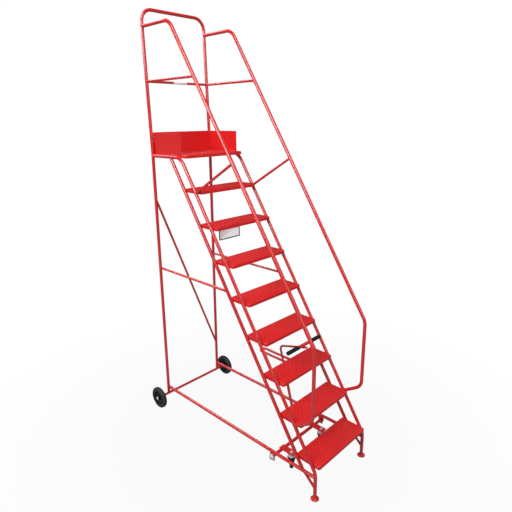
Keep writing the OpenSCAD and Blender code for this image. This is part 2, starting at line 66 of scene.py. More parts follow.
def only(obj):
    """Leave edit mode and make one object the single selected one."""
    if bpy.context.mode != "OBJECT":
        bpy.ops.object.mode_set(mode="OBJECT")
    bpy.ops.object.select_all(action="DESELECT")
    if obj is not None:
        obj.select_set(True)
        bpy.context.view_layer.objects.active = obj
    return obj


def edit(obj, mode):
    """Open one object for editing in VERT, EDGE or FACE mode."""
    only(obj)
    bpy.ops.object.mode_set(mode="EDIT")
    bpy.ops.mesh.select_mode(type=mode)


def pick(kind, test):
    """Select the verts, edges or faces of the open mesh that pass a test, and count them."""
    mesh = bmesh.from_edit_mesh(bpy.context.edit_object.data)
    for group in (mesh.faces, mesh.edges, mesh.verts):
        for item in group:
            item.select = False
    found = [item for item in getattr(mesh, kind) if test(item)]
    for item in found:
        item.select_set(True)
    mesh.select_flush_mode()
    bmesh.update_edit_mesh(bpy.context.edit_object.data)
    return len(found)


def done(obj):
    """Close the edit, and turn every face outwards."""
    bpy.ops.mesh.select_all(action="SELECT")
    bpy.ops.mesh.normals_make_consistent(inside=False)
    bpy.ops.object.mode_set(mode="OBJECT")
    return obj


def put(obj, at=(0, 0, 0), turn=(0, 0, 0)):
    """Move and turn an object, then write its place into its mesh."""
    only(obj)
    obj.location = at
    obj.rotation_euler = turn
    bpy.ops.object.transform_apply(location=True, rotation=True, scale=True)
    return obj


def join(parts):
    """Join several objects into the first."""
    only(parts[0])
    for part in parts[1:]:
        part.select_set(True)
    bpy.ops.object.join()
    return parts[0]


def apply_all(obj):
    """Apply every modifier of an object, top to bottom."""
    only(obj)
    for name in [m.name for m in obj.modifiers]:
        bpy.ops.object.modifier_apply(modifier=name)
    return obj


def finish_piece(obj, name, body, paint, stands_for=(), smooth=35):
    """Name, smooth and paint a piece, and hang it on its body."""
    only(obj)
    bpy.ops.object.shade_smooth_by_angle(angle=math.radians(smooth))
    obj.name = name
    obj.data.name = name
    if paint is not None:
        obj.data.materials.clear()
        obj.data.materials.append(paint)
    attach(obj, body)
    if stands_for:
        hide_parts(*stands_for)
    print(name, len(obj.data.polygons), "faces")
    return obj


# %% [markdown]
# Round parts such as tyres, caps and feet are turned. On a lathe one would cut a half section. Here the half
# section is drawn point by point with vertex extrusions and then spun about the Z axis. A ring closes on its
# first point, a solid starts and ends on the axis, and merging doubles closes the seam and the poles.

# %% Helper for turned parts
def turned(outline, steps=48):
    """Spin a half section of (radius, height) points, in millimetres, round Z."""
    only(None)
    bpy.ops.mesh.primitive_plane_add(size=MM)
    obj = bpy.context.object
    edit(obj, "VERT")
    bpy.ops.mesh.select_all(action="SELECT")
    bpy.ops.mesh.merge(type="CENTER")
    bpy.ops.transform.translate(value=(outline[0][0] * MM, 0, outline[0][1] * MM))
    for old, new in zip(outline, outline[1:]):
        step = ((new[0] - old[0]) * MM, 0, (new[1] - old[1]) * MM)
        bpy.ops.mesh.extrude_region_move(TRANSFORM_OT_translate={"value": step})
    bpy.ops.mesh.select_all(action="SELECT")
    bpy.ops.mesh.spin(steps=steps, angle=math.tau, center=(0, 0, 0), axis=(0, 0, 1))
    bpy.ops.mesh.select_all(action="SELECT")
    bpy.ops.mesh.remove_doubles(threshold=0.00001)
    return done(obj)


def hexagon(width, height, at=0.0):
    """A hexagon head or nut with softened edges, standing on Z, in millimetres."""
    only(None)
    bpy.ops.mesh.primitive_cylinder_add(
        vertices=6,
        radius=width / math.sqrt(3) * MM,
        depth=height * MM,
        location=(0, 0, (at + height / 2) * MM),
    )
    obj = put(bpy.context.object, bpy.context.object.location)
    edit(obj, "EDGE")
    pick("edges", lambda e: True)
    bpy.ops.mesh.bevel(offset=0.7 * MM, segments=2, affect="EDGES")
    return done(obj)


TO_X = (0, math.pi / 2, 0)
TO_MINUS_X = (0, -math.pi / 2, 0)

# %% [markdown]
# Now the finishes. The whole frame has one bright red powder coat. Powder coat is never a flat colour: it
# flows out with a fine orange peel, its gloss changes a little from place to place, and thick and thin spots
# shift the red. Noises of several sizes give this: about half a metre for the colour, a hand's width for the
# gloss, and for the surface a fine peel of a millimetre or two on a long, shallow wave. They all read Object
# coordinates, so the finish doesn't stretch.

# %% Helper for procedural finishes
def noise(tree, scale, detail, coords, stretch=None):
    """A noise on Object coordinates, stretched along the axes where that is wanted."""
    node = tree.nodes.new("ShaderNodeTexNoise")
    node.inputs["Scale"].default_value = scale
    node.inputs["Detail"].default_value = detail
    if stretch:
        mapping = tree.nodes.new("ShaderNodeMapping")
        mapping.inputs["Scale"].default_value = stretch
        tree.links.new(coords.outputs["Object"], mapping.inputs["Vector"])
        tree.links.new(mapping.outputs["Vector"], node.inputs["Vector"])
    else:
        tree.links.new(coords.outputs["Object"], node.inputs["Vector"])
    return node


def ramp(tree, source, stops):
    """Colours along a noise's values."""
    node = tree.nodes.new("ShaderNodeValToRGB")
    for element, (place, colour) in zip(node.color_ramp.elements, (stops[0], stops[-1])):
        element.position = place
        element.color = (*colour, 1)
    for place, colour in stops[1:-1]:
        element = node.color_ramp.elements.new(place)
        element.color = (*colour, 1)
    tree.links.new(source.outputs["Fac"], node.inputs["Fac"])
    return node


def finish(name, colours, colour_scale, gloss, gloss_scale, bumps, metal=0.0, specular=0.5, stretch=None):
    """A finish with uneven colour, uneven gloss and bumps given as (scale, depth in metres, strength)."""
    material = bpy.data.materials.new(name)
    material.use_nodes = True
    tree = material.node_tree
    shader = tree.nodes["Principled BSDF"]
    shader.inputs["Metallic"].default_value = metal
    shader.inputs["Specular IOR Level"].default_value = specular
    coords = tree.nodes.new("ShaderNodeTexCoord")
    tint = noise(tree, colour_scale, 3, coords, stretch)
    shade = ramp(tree, tint, [(0.30, colours[0]), (0.70, colours[1])])
    tree.links.new(shade.outputs["Color"], shader.inputs["Base Color"])
    patches = noise(tree, gloss_scale, 4, coords, stretch)
    spread = tree.nodes.new("ShaderNodeMapRange")
    spread.inputs["From Min"].default_value = 0.3
    spread.inputs["From Max"].default_value = 0.7
    spread.inputs["To Min"].default_value = gloss[0]
    spread.inputs["To Max"].default_value = gloss[1]
    tree.links.new(patches.outputs["Fac"], spread.inputs["Value"])
    tree.links.new(spread.outputs["Result"], shader.inputs["Roughness"])
    last = None
    for scale, depth, strength in bumps:
        grain = noise(tree, scale, 2, coords, stretch)
        bump = tree.nodes.new("ShaderNodeBump")
        bump.inputs["Distance"].default_value = depth
        bump.inputs["Strength"].default_value = strength
        tree.links.new(grain.outputs["Fac"], bump.inputs["Height"])
        if last is not None:
            tree.links.new(last.outputs["Normal"], bump.inputs["Normal"])
        last = bump
    tree.links.new(last.outputs["Normal"], shader.inputs["Normal"])
    return material


red_paint = finish(
    "red_powder_coat",
    [(0.650, 0.015, 0.016), (0.710, 0.018, 0.019)],
    2.2,
    (0.14, 0.18),
    6,
    [(700, 0.0003, 0.02), (12, 0.0010, 0.01)],
    specular=1.0,
)
tread_paint = finish(
    "satin_red_tread_paint",
    [(0.660, 0.016, 0.017), (0.730, 0.021, 0.022)],
    3.0,
    (0.34, 0.46),
    50,
    [(600, 0.0004, 0.06), (40, 0.0008, 0.03)],
    specular=0.30,
)
# Paler red for the pip tops: partly paint worn by shoes, partly a painted highlight standing in for the light
# on them.
worn_and_highlight_paint = finish(
    "worn_red_paint_with_painted_highlight",
    [(0.670, 0.034, 0.034), (0.740, 0.090, 0.084)],
    160,
    (0.30, 0.42),
    200,
    [(900, 0.0003, 0.05)],
    specular=0.5,
)

# %% [markdown]
# The other finishes follow the same recipe with other numbers. Zinc plate is partly metal, with a faint
# bluish and yellowish mottling, and the toe boards' screws have a dull, dark one. Tyre rubber is nearly
# black, matt and grainy. The wheel centres are moulded plastic, the castor forks have black paint, and the
# grips are soft rubber. The sign plate is plain white with a dark border, left bare.

# %% The other finishes
zinc = finish(
    "bright_zinc_plate",
    [(0.74, 0.75, 0.77), (0.88, 0.88, 0.86)],
    120,
    (0.24, 0.40),
    260,
    [(900, 0.0002, 0.15)],
    metal=0.45,
)
dull_zinc = finish(
    "dull_dark_zinc",
    [(0.10, 0.10, 0.11), (0.20, 0.20, 0.20)],
    150,
    (0.40, 0.55),
    260,
    [(900, 0.0002, 0.15)],
    metal=1.0,
)
tyre_rubber = finish(
    "grey_black_tyre_rubber",
    [(0.032, 0.032, 0.033), (0.050, 0.050, 0.051)],
    28,
    (0.52, 0.70),
    90,
    [(700, 0.0005, 0.25), (60, 0.0008, 0.10)],
    specular=0.25,
)
castor_rubber = finish(
    "black_castor_rubber",
    [(0.012, 0.012, 0.013), (0.026, 0.026, 0.027)],
    60,
    (0.42, 0.60),
    120,
    [(900, 0.0004, 0.2)],
    specular=0.25,
)
hub_plastic = finish(
    "black_hub_plastic",
    [(0.004, 0.004, 0.004), (0.010, 0.010, 0.010)],
    40,
    (0.36, 0.50),
    80,
    [(650, 0.0004, 0.18)],
    specular=0.25,
)
black_paint = finish(
    "black_fork_paint",
    [(0.010, 0.010, 0.011), (0.022, 0.022, 0.024)],
    50,
    (0.22, 0.36),
    110,
    [(500, 0.0004, 0.12)],
    specular=0.25,
)
grip_rubber = finish(
    "soft_grip_rubber",
    [(0.006, 0.006, 0.006), (0.014, 0.014, 0.014)],
    90,
    (0.48, 0.66),
    150,
    [(1100, 0.0003, 0.2)],
    specular=0.25,
)
white_plate = finish(
    "bare_white_plate",
    [(0.90, 0.91, 0.93), (0.96, 0.97, 0.98)],
    9,
    (0.30, 0.42),
    60,
    [(500, 0.0002, 0.06)],
)
dark_edge = finish(
    "dark_plate_edge",
    [(0.004, 0.005, 0.012), (0.010, 0.012, 0.024)],
    40,
    (0.40, 0.55),
    80,
    [(600, 0.0003, 0.1)],
    specular=0.25,
)
finish_of_slot = {
    "red_paint": red_paint,
    "rubber_tyre": tyre_rubber,
    "castor_rubber": castor_rubber,
    "black_plastic": hub_plastic,
    "black_metal": black_paint,
    "grip_rubber": grip_rubber,
    "zinc_steel": zinc,
    "white_plastic": white_plate,
}

# %% [markdown]
# The CAD tubes have the right shape already, so they keep it and only take their finish, by the slot that the
# record names for each. Sheet and plate parts with sharp CAD edges get a small live bevel. Their triangles
# are loose, so a weld comes first and joins them.

# %% Paint the CAD nodes and soften the plates
for row in frame["record"]["subparts"]:
    node = nodes[row["node"]]
    node.data.materials.clear()
    node.data.materials.append(finish_of_slot[row["material_slot"]])

PLATE_EDGE = 0.0008
MERGE = 0.00001
plates = [
    "left_toe_board",
    "right_toe_board",
    "rear_toe_board",
    "left_shaft_bracket",
    "right_shaft_bracket",
    "left_castor_plate",
    "right_castor_plate",
]
for name in plates:
    weld = nodes[name].modifiers.new("weld", "WELD")
    weld.merge_threshold = MERGE
    soften = nodes[name].modifiers.new("soften", "BEVEL")
    soften.width = PLATE_EDGE
    soften.segments = 2
    soften.limit_method = "ANGLE"
    soften.angle_limit = math.radians(40)
    soften.harden_normals = False
print("softened", len(plates), "plates")

# %% [markdown]
# A tread is folded from one 2 mm sheet: a flat top, lips turned down on four sides with a small bend radius,
# round corners, and a nose strip that slopes slightly forward. A box is the right start. Its floor is
# deleted, one cut marks the nose strip, the corners and folds are bevelled, the front lip gets a short return
# underneath, and Solidify gives the sheet its thickness.

# %% Helper for a folded tray
SHEET = 2 * MM
NOSE_STRIP = 30 * MM
NOSE_DROP = 2.5 * MM
NOSE_RETURN = 0.011
FRONT_CORNER = 13 * MM
REAR_CORNER = 7 * MM
FOLD = 4 * MM


def folded_tray(node):
    """A folded sheet tray in the place of a CAD tray."""
    low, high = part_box(node)
    only(None)
    bpy.ops.mesh.primitive_cube_add(size=1, location=(low + high) / 2, scale=high - low)
    obj = put(bpy.context.object, bpy.context.object.location)
    obj.data.materials.append(tread_paint)
    obj.data.materials.append(red_paint)
    edit(obj, "FACE")
    pick("faces", lambda f: f.normal.z < -0.9)
    bpy.ops.mesh.delete(type="FACE")
    bpy.ops.mesh.select_all(action="SELECT")
    bpy.ops.mesh.bisect(plane_co=(0, low.y + NOSE_STRIP, 0), plane_no=(0, 1, 0))
    bpy.ops.mesh.select_mode(type="VERT")
    pick("verts", lambda v: v.co.y < low.y + MM and v.co.z > high.z - MM)
    bpy.ops.transform.translate(value=(0, 0, -NOSE_DROP))
    bpy.ops.mesh.select_mode(type="EDGE")
    for rear, radius in ((False, FRONT_CORNER), (True, REAR_CORNER)):
        pick("edges", lambda e: is_corner(e, low, high, rear))
        bpy.ops.mesh.bevel(offset=radius, segments=5, affect="EDGES")
    pick("edges", is_fold)
    bpy.ops.mesh.bevel(offset=FOLD, segments=3, affect="EDGES")
    bpy.ops.mesh.select_mode(type="FACE")
    pick("faces", lambda f: 0.1 < f.normal.z < 0.97)
    obj.active_material_index = 1
    bpy.ops.object.material_slot_assign()
    bpy.ops.mesh.select_mode(type="EDGE")
    pick("edges", lambda e: e.is_boundary and all(v.co.y < low.y + MM for v in e.verts))
    bpy.ops.mesh.extrude_region_move(TRANSFORM_OT_translate={"value": (0, NOSE_RETURN, 0)})
    done(obj)
    thick = obj.modifiers.new("sheet", "SOLIDIFY")
    thick.thickness = SHEET
    thick.offset = -1
    thick.use_even_offset = True
    return apply_all(obj), low, high


def is_corner(e, low, high, rear):
    """A vertical edge at the front or the rear corners."""
    upright = abs(e.verts[0].co.z - e.verts[1].co.z) > 10 * MM
    y = high.y if rear else low.y
    return upright and all(abs(v.co.y - y) < MM for v in e.verts)


def is_fold(e):
    """An edge between the top and a lip."""
    if len(e.link_faces) != 2:
        return False
    ups = sorted(f.normal.z for f in e.link_faces)
    return ups[0] < 0.3 and ups[1] > 0.9


# %% [markdown]
# The grip on a tread comes from rows of pressed pips, staggered by half a pitch. One pip is a low cone with
# its rim bevelled round. Its top faces get a paler red: partly paint worn by shoes, partly a painted
# highlight.
# Two Array modifiers lay out a grid of it, and a second grid sits half a pitch further. A pip has few faces,
# because there are more than a thousand of them.

# %% Helper for the rows of pips
PITCH = 40 * MM
PIP_SINK = 0.4 * MM
PIP_HIGH = 2.0 * MM
PIP_FOOT = 5.6 * MM
PIP_TOP = 3.4 * MM
PIP_ROUND = 0.9 * MM
BARE_ENDS = 60 * MM


def pip_grid(first, columns, rows, top):
    """One grid of pips from its first place, on a surface at height top."""
    only(None)
    bpy.ops.mesh.primitive_cone_add(
        vertices=12,
        radius1=PIP_FOOT,
        radius2=PIP_TOP,
        depth=PIP_HIGH + PIP_SINK,
        location=(first[0], first[1], top + (PIP_HIGH - PIP_SINK) / 2),
    )
    obj = put(bpy.context.object, bpy.context.object.location)
    obj.data.materials.append(tread_paint)
    obj.data.materials.append(worn_and_highlight_paint)
    edit(obj, "EDGE")
    pick("edges", lambda e: all(v.co.z > top + MM for v in e.verts))
    bpy.ops.mesh.bevel(offset=PIP_ROUND, segments=2, affect="EDGES")
    bpy.ops.mesh.select_mode(type="FACE")
    # The top faces take the paler red: worn paint plus a painted highlight.
    pick("faces", lambda f: f.normal.z > 0.7)
    obj.active_material_index = 1
    bpy.ops.object.material_slot_assign()
    done(obj)
    for count, offset in ((columns, (PITCH, 0, 0)), (rows, (0, PITCH, 0))):
        lay_out = obj.modifiers.new("rows", "ARRAY")
        lay_out.count = count
        lay_out.use_relative_offset = False
        lay_out.use_constant_offset = True
        lay_out.constant_offset_displace = offset
    return apply_all(obj)


def pips(low, high, margin_front, margin_rear):
    """Two staggered grids over the flat part of a tread."""
    depth = high.y - low.y - margin_front - margin_rear
    rows = int(depth / PITCH + 0.5)
    columns = int((high.x - low.x - BARE_ENDS) / PITCH)
    x = -(columns - 0.5) * PITCH / 2
    y = low.y + margin_front
    a = pip_grid((x, y), columns, rows, high.z)
    b = pip_grid((x + PITCH / 2, y + PITCH / 2), columns, rows, high.z)
    return join([a, b])


# %% [markdown]
# With both helpers, the eight treads and the platform are the same few lines each. The platform is deeper,
# and its pips stop short of the toe boards.

# %% Treads and platform
NOSE_MARGIN = 40 * MM
BACK_MARGIN = 10 * MM
BOARD_MARGIN = 40 * MM
for step in range(1, 9):
    node = f"tread_{step}"
    tray, low, high = folded_tray(node)
    piece = join([tray, pips(low, high, NOSE_MARGIN, BACK_MARGIN)])
    finish_piece(piece, f"folded_tread_{step}", "frame", None, [node])

tray, low, high = folded_tray("platform")
piece = join([tray, pips(low, high, NOSE_MARGIN, BOARD_MARGIN)])
finish_piece(piece, "folded_platform", "frame", None, ["platform"])

# %% [markdown]
# A rear wheel has a solid tyre on a moulded centre. The tyre is turned with rounded shoulders and two raised
# rings on each sidewall. Fine cross grooves run over the tread: every second facet of the running surface is
# extruded inwards. The centre has a boss, a rim and five pockets between ribs on each face, and a small
# bright plug sits on one rib of its outer face.

# %% Rear tyres and wheel centres
TYRE = [
    (66.1, 3.0), (69.0, 1.2), (74.0, 0.4), (75.0, 1.6), (77.0, 1.6), (78.0, 0.2), (84.0, 0.6),
    (89.0, 2.6), (92.6, 5.8), (94.4, 9.2), (95.0, 11.0), (95.0, 27.0), (94.4, 28.8), (92.6, 32.2),
    (89.0, 35.4), (84.0, 37.4), (78.0, 37.8), (77.0, 36.4), (75.0, 36.4), (74.0, 37.6),
    (69.0, 36.8), (66.1, 35.0), (66.1, 3.0),
]
CENTRE = [
    (8.55, -3.0), (22.0, -3.0), (23.5, -1.5), (24.5, 8.0), (28.0, 10.5), (54.0, 10.5), (57.0, 8.0),
    (58.0, 4.0), (60.0, 2.6), (66.0, 2.6), (66.0, 35.4), (60.0, 35.4), (58.0, 34.0), (57.0, 30.0),
    (54.0, 27.5), (28.0, 27.5), (24.5, 30.0), (23.5, 39.5), (22.0, 41.0), (8.55, 41.0), (8.55, -3.0),
]


def facet(face, steps):
    """Number of a facet on its way round Z, and its distance from the axis in millimetres."""
    place = face.calc_center_median()
    return int(math.degrees(math.atan2(place.y, place.x)) % 360 / 360 * steps), place.xy.length / MM


TYRE_STEPS = 120
RUNNING = 94.5
GROOVE = 1.3 * MM
CENTRE_STEPS = 60
WEB_IN, WEB_OUT = 30, 54
RIB_EVERY = 12
POCKET_WIDE = 8
PLUG_OUT = 33 * MM
PLUG = [(0, 27.3), (4.6, 27.3), (4.6, 28.6), (3.8, 29.4), (0, 29.6)]


def is_groove(face):
    """Every second facet of the running surface."""
    number, out = facet(face, TYRE_STEPS)
    return out > RUNNING and number % 2 == 0


def is_pocket(face):
    """A facet of the web between two ribs, on either side of the wheel."""
    number, out = facet(face, CENTRE_STEPS)
    return abs(face.normal.z) > 0.9 and WEB_IN < out < WEB_OUT and number % RIB_EVERY < POCKET_WIDE


def make_tyre():
    """A tyre with cross grooves, lying on Z."""
    obj = turned(TYRE, TYRE_STEPS)
    edit(obj, "FACE")
    pick("faces", is_groove)
    bpy.ops.mesh.extrude_faces_move(TRANSFORM_OT_shrink_fatten={"value": -GROOVE})
    return done(obj)


def make_centre():
    """A wheel centre with pockets between its ribs, lying on Z."""
    obj = turned(CENTRE, CENTRE_STEPS)
    edit(obj, "FACE")
    pick("faces", is_pocket)
    bpy.ops.mesh.inset(thickness=2.5 * MM)
    bpy.ops.mesh.extrude_region_shrink_fatten(TRANSFORM_OT_shrink_fatten={"value": -5 * MM})
    return done(obj)


for name, turn, rib in (("left", TO_MINUS_X, math.radians(204)), ("right", TO_X, math.radians(348))):
    body = name + "_rear_wheel"
    low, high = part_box(name + "_rear_tyre")
    inner = high.x if name == "left" else low.x
    at = (inner, (low.y + high.y) / 2, (low.z + high.z) / 2)
    tyre = put(make_tyre(), at, turn)
    finish_piece(tyre, name + "_grooved_tyre", body, tyre_rubber, [name + "_rear_tyre"])
    centre = put(make_centre(), at, turn)
    finish_piece(centre, name + "_wheel_centre", body, hub_plastic, [name + "_rear_hub"])
    plug = turned(PLUG, 16)
    put(plug, (PLUG_OUT * math.cos(rib), PLUG_OUT * math.sin(rib), 0))
    finish_piece(put(plug, at, turn), name + "_wheel_plug", body, zinc)

# %% [markdown]
# The axle shows at each wheel as a bright domed cap, with a washer under it and one behind the wheel. Pin,
# washers and cap are one turned solid: the half section runs up the inside end, along the pin and over the
# dome.

# %% Axle pins with domed caps
low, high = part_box("axle_pins")
wheel_low, wheel_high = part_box("right_rear_hub")
PIN = 8.5
PIN_START = 0.234
length = (high.x - PIN_START) / MM
hub_in = (wheel_low.x - PIN_START) / MM
hub_out = (wheel_high.x - PIN_START) / MM
PIN_OUTLINE = [
    (0, 0), (PIN - 1, 0), (PIN, 1), (PIN, hub_in - 1.8), (12.6, hub_in - 1.8), (13.0, hub_in - 1.4),
    (13.0, hub_in - 0.6), (12.6, hub_in - 0.3), (PIN, hub_in - 0.3), (PIN, hub_out + 0.3),
    (14.6, hub_out + 0.3), (15.4, hub_out + 0.8), (15.4, hub_out + 2.0), (14.4, hub_out + 2.4),
    (14.0, hub_out + 3.2), (12.6, hub_out + 5.0), (9.6, hub_out + 6.3), (5.4, hub_out + 7.0),
    (0, length),
]
caps = []
for side, turn in ((-1, TO_MINUS_X), (1, TO_X)):
    at = (side * PIN_START, (low.y + high.y) / 2, (low.z + high.z) / 2)
    caps.append(put(turned(PIN_OUTLINE, 32), at, turn))
finish_piece(join(caps), "capped_axle_pins", "frame", zinc, ["axle_pins"])

# %% [markdown]
# Each front leg ends in a pressed foot: a dished disc with a rolled rim and a socket round the tube. It is
# one turned solid, with the rim and the fillet to the socket rounded by extra points.

# %% Feet
FOOT = [
    (0, 0), (25.0, 0), (28.4, 0.6), (29.7, 2.0), (30.0, 3.6), (29.7, 5.2), (28.4, 6.2), (26.6, 6.4),
    (22.0, 6.8), (19.0, 7.8), (17.2, 10.0), (16.4, 14.0), (15.8, 22.5),
    (15.0, 24.0), (12.75, 24.0), (12.75, 7.75), (0, 7.75),
]
for name in ("left", "right"):
    low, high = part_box(name + "_foot")
    foot = put(turned(FOOT, 48), ((low.x + high.x) / 2, (low.y + high.y) / 2, low.z))
    finish_piece(foot, name + "_dished_foot", "frame", red_paint, [name + "_foot"])

# %% [markdown]
# The grips on the lever's cross bar are ribbed rubber sleeves with a flared collar and a rounded closed end.
# The half section is made by a small loop, one rib after the other, and is turned like the rest.

# %% Ribbed grips
low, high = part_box("lever_grips")
bar_low, bar_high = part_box("lever_cross_bar")
GRIP = 118
GRIP_FIT = 0.1
SLIMMER = 1.8
RIB_DEEP = 1.8
COLLAR = 6.5
PLAIN_ENDS = 18
inner = (bar_high.z - bar_low.z) / 2 / MM + GRIP_FIT
outer = (high.z - low.z) / 2 / MM - SLIMMER
valley = outer - RIB_DEEP
grip_points = [(inner, 0), (outer, 0), (outer, 3.0), (outer - 0.9, 4.2), (valley, 5.0)]
ribs = 12
for rib in range(ribs):
    start = COLLAR + rib * (GRIP - PLAIN_ENDS) / ribs
    wide = (GRIP - PLAIN_ENDS) / ribs
    grip_points += [
        (valley, start),
        (outer - 0.6, start + wide * 0.16),
        (outer - 0.2, start + wide * 0.34),
        (outer - 0.6, start + wide * 0.54),
        (valley, start + wide * 0.70),
    ]
grip_points += [
    (valley, GRIP - 9), (outer - 0.7, GRIP - 7), (outer - 0.5, GRIP - 4), (outer - 1.9, GRIP - 1.2),
    (outer - 4.9, GRIP), (0, GRIP), (0, GRIP - 3.9), (inner, GRIP - 3.9), (inner, 0),
]
grips = []
for side, turn in ((-1, TO_MINUS_X), (1, TO_X)):
    end = high.x if side > 0 else low.x
    at = (end - side * GRIP * MM, (low.y + high.y) / 2, (low.z + high.z) / 2)
    grips.append(put(turned(grip_points, 32), at, turn))
finish_piece(join(grips), "ribbed_grips", "lever", grip_rubber, ["lever_grips"], smooth=50)

# %% [markdown]
# The lift shaft ends in a bright cup and a nut outside each base rail. The cup is turned, the nut is a
# hexagon with all its edges softened, and the shaft's own thread end shows in its middle as a small dome.

# %% Cups and nuts on the lift shaft
low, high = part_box("shaft_nuts")
CUP = [
    (8.05, 0), (20.0, 0), (22.0, 1.2), (22.0, 9.5), (21.0, 11.8), (18.6, 13.0), (8.05, 13.0), (8.05, 0),
]
TIP = [(0, 21.2), (7.4, 21.2), (7.9, 21.8), (7.9, 23.0), (6.6, 24.0), (0, 24.0)]
CUP_BACK = 22 * MM
nuts = []
for side, turn in ((-1, TO_MINUS_X), (1, TO_X)):
    cup = turned(CUP, 40)
    nut = hexagon(24.2, 8.4, 13.0)
    tip = turned(TIP, 24)
    face = high.x - CUP_BACK if side > 0 else low.x + CUP_BACK
    at = (face, (low.y + high.y) / 2, (low.z + high.z) / 2)
    nuts.append(put(join([cup, nut, tip]), at, turn))
finish_piece(join(nuts), "shaft_cups_and_nuts", "lever", zinc, ["shaft_nuts"])

# %% [markdown]
# A castor hangs from a king bolt. Above the fork sits a bright dished head that holds the ball race, and the
# bolt's nut with a washer lies on the red plate. Each is turned or cut as before, and both castors' bright
# parts are one piece, since they move with the lever.

# %% Castor heads and king bolts
low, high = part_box("castor_bolts")
plate_low, plate_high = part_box("left_castor_plate")
under = plate_low.z / MM
over = plate_high.z / MM
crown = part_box("left_castor_fork")[1].z / MM
castor_y = (low.y + high.y) / 2
CASTOR_X = 0.182
heads = []
for side in (-1, 1):
    head = turned(
        [
            (6.05, crown + 0.6), (24.0, crown + 0.6), (28.4, crown + 1.6), (30.0, crown + 4.2),
            (29.6, crown + 7.5), (27.6, crown + 11.0), (26.0, crown + 15.5), (25.6, under - 5.0),
            (27.4, under - 3.4), (27.8, under - 1.6), (26.8, under - 0.1), (6.05, under - 0.1),
            (6.05, crown + 0.6),
        ],
        48,
    )
    washer = turned(
        [(6.3, over + 0.1), (11.2, over + 0.1), (11.6, over + 0.6), (11.2, over + 1.6), (6.3, over + 1.6),
         (6.3, over + 0.1)],
        32,
    )
    nut = hexagon(16.4, 5.4, over + 1.6)
    bolt = turned(
        [
            (0, low.z / MM), (9.0, low.z / MM), (10.0, low.z / MM + 1.0), (10.0, low.z / MM + 4.6),
            (9.2, low.z / MM + 5.4), (6.0, low.z / MM + 5.4), (6.0, over), (0, over),
        ],
        24,
    )
    heads.append(put(join([head, washer, nut, bolt]), (side * CASTOR_X, castor_y, 0)))
finish_piece(join(heads), "castor_heads", "lever", zinc, ["castor_bolts"])

# %% [markdown]
# The castor fork is pressed from thick sheet: a round crown and two legs that taper back to the axle. A leg
# starts as a flat box. Its lower points are slid back by the castor's trail and drawn together, and bevels
# round the end and the edges. The wheel is turned, with a crowned running face and dished sides.

# %% Castor forks and wheels
TRAIL = 28
AXLE_UP = 50
HEADING = math.radians(-45)
LEG_THICK = 4
LEG_WIDE = 38
LEG_SPLAY = 7 * MM
LEG_TAPER = 0.70
CROWN_LAP = 3
AXLE_LAP = 12
FORK_TOP = [
    (6.05, crown - 6), (26.0, crown - 6), (28.6, crown - 11), (30.6, crown - 11.6), (32.0, crown - 10),
    (31.8, crown - 5), (29.6, crown - 1.6), (26.0, crown), (6.05, crown), (6.05, crown - 6),
]
FORK_AXLE = [(0, -22.5), (4.2, -22.5), (5.0, -21.7), (5.0, 21.7), (4.2, 22.5), (0, 22.5)]
CASTOR_WHEEL = [
    (5.05, -15.0), (12.6, -15.0), (14.0, -14.0), (14.6, -9.6), (17.0, -8.6), (31.0, -8.6),
    (34.0, -10.2), (36.0, -12.4), (40.0, -13.0), (44.5, -12.4), (47.6, -10.0), (49.2, -6.4), (50.0, 0),
    (49.2, 6.4), (47.6, 10.0), (44.5, 12.4), (40.0, 13.0), (36.0, 12.4), (34.0, 10.2), (31.0, 8.6),
    (17.0, 8.6), (14.6, 9.6), (14.0, 14.0), (12.6, 15.0), (5.05, 15.0), (5.05, -15.0),
]


def fork_leg(inner_x):
    """One leg of a fork, from the crown down to the axle."""
    only(None)
    bpy.ops.mesh.primitive_cube_add(
        size=1,
        location=((inner_x + LEG_THICK / 2) * MM, 0, (crown - CROWN_LAP + AXLE_UP - AXLE_LAP) / 2 * MM),
        scale=(LEG_THICK * MM, LEG_WIDE * MM, (crown - CROWN_LAP - AXLE_UP + AXLE_LAP) * MM),
    )
    obj = put(bpy.context.object, bpy.context.object.location)
    edit(obj, "VERT")
    pick("verts", lambda v: v.co.z > AXLE_UP * MM)
    bpy.ops.transform.translate(value=(math.copysign(LEG_SPLAY, inner_x), 0, 0))
    pick("verts", lambda v: v.co.z < AXLE_UP * MM)
    bpy.ops.transform.resize(value=(1, LEG_TAPER, 1), center_override=(0, 0, 0))
    bpy.ops.transform.translate(value=(0, TRAIL * MM, 0))
    bpy.ops.mesh.select_mode(type="EDGE")
    pick("edges", lambda e: all(v.co.z < AXLE_UP * MM for v in e.verts) and along_x(e))
    bpy.ops.mesh.bevel(offset=10 * MM, segments=6, affect="EDGES")
    pick("edges", lambda e: not along_x(e) and e.calc_face_angle(0) > 1)
    bpy.ops.mesh.bevel(offset=1.1 * MM, segments=2, affect="EDGES")
    return done(obj)


def along_x(e):
    """An edge that runs across the sheet."""
    way = e.verts[1].co - e.verts[0].co
    return abs(way.x) > 0.9 * way.length


for name, side in (("left", -1), ("right", 1)):
    top = turned(FORK_TOP, 48)
    legs = [fork_leg(15.5), fork_leg(-19.5)]
    axle_at = (0, TRAIL * MM, AXLE_UP * MM)
    axle = put(turned(FORK_AXLE, 24), axle_at, TO_X)
    ends = [put(hexagon(15, 2.6, 19.6), axle_at, turn) for turn in (TO_X, TO_MINUS_X)]
    place = (side * CASTOR_X, castor_y, 0)
    fork = put(join([top, *legs, axle, *ends]), place, (0, 0, HEADING))
    finish_piece(fork, name + "_pressed_fork", name + "_castor_swivel", black_paint,
                 [name + "_castor_fork"])
    wheel = put(turned(CASTOR_WHEEL, 72), axle_at, TO_X)
    put(wheel, place, (0, 0, HEADING))
    finish_piece(wheel, name + "_castor_tyre", name + "_castor_roller", castor_rubber,
                 [name + "_castor_wheel"])

# %% [markdown]
# Small fasteners hold the toe boards together in the corners. Each is a low domed head with a recess in its
# middle, turned in one go, so the recess is really there.

